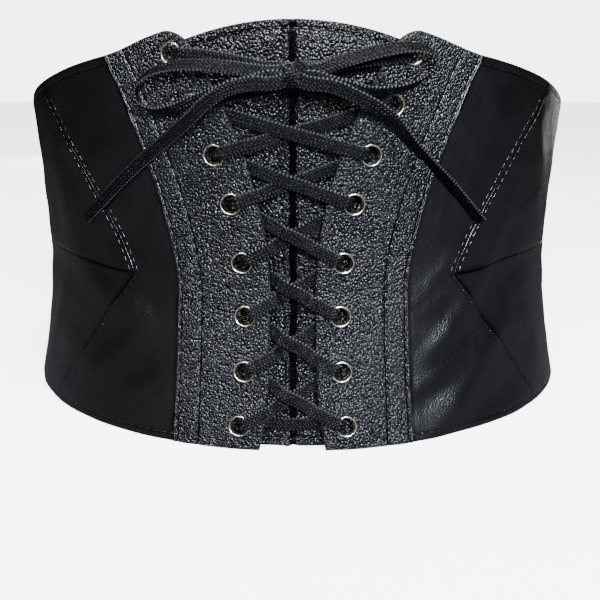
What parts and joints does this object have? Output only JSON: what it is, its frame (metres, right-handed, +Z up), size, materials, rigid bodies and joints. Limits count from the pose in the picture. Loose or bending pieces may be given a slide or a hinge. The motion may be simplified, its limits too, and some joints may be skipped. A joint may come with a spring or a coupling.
{
  "type": "corset belt",
  "caption": "Wide laced waist belt with a taller pointed front, flat lace tied in a bow over a modesty panel, seamed side panels and a plain back.",
  "frame": {"origin": "centre of the belt's bounding box at the bottom rim, on the surface that the belt stands on", "axes": "+Z up the belt, -Y out of the laced front, +X to the right as the front is looked at"},
  "size_m": [0.2472, 0.2459, 0.1523],
  "materials": {
    "flap_leather": "matt fine pebbled faux leather",
    "side_leather": "glossy smooth faux leather",
    "modesty_leather": "matt fine pebbled faux leather",
    "eyelet_brass": "pale antique brass",
    "lace_cord": "flat braided black cord"
  },
  "bodies": {
    "root": {"flap_left": "flap_leather", "flap_right": "flap_leather", "side_front_left": "side_leather", "side_front_right": "side_leather", "side_upper_left": "side_leather", "side_upper_right": "side_leather", "side_lower_left": "side_leather", "side_lower_right": "side_leather", "back_panel": "side_leather", "modesty_left": "modesty_leather", "modesty_right": "modesty_leather", "eyelet_left_1": "eyelet_brass", "eyelet_left_2": "eyelet_brass", "eyelet_left_3": "eyelet_brass", "eyelet_left_4": "eyelet_brass", "eyelet_left_5": "eyelet_brass", "eyelet_left_6": "eyelet_brass", "eyelet_left_7": "eyelet_brass", "eyelet_left_8": "eyelet_brass", "eyelet_right_1": "eyelet_brass", "eyelet_right_2": "eyelet_brass", "eyelet_right_3": "eyelet_brass", "eyelet_right_4": "eyelet_brass", "eyelet_right_5": "eyelet_brass", "eyelet_right_6": "eyelet_brass", "eyelet_right_7": "eyelet_brass", "eyelet_right_8": "eyelet_brass", "lacing": "lace_cord", "lead_left": "lace_cord", "lead_right": "lace_cord", "loop_left": "lace_cord", "loop_right": "lace_cord", "tail_left": "lace_cord", "tail_right": "lace_cord", "bow_knot": "lace_cord"}
  },
  "joints": []
}
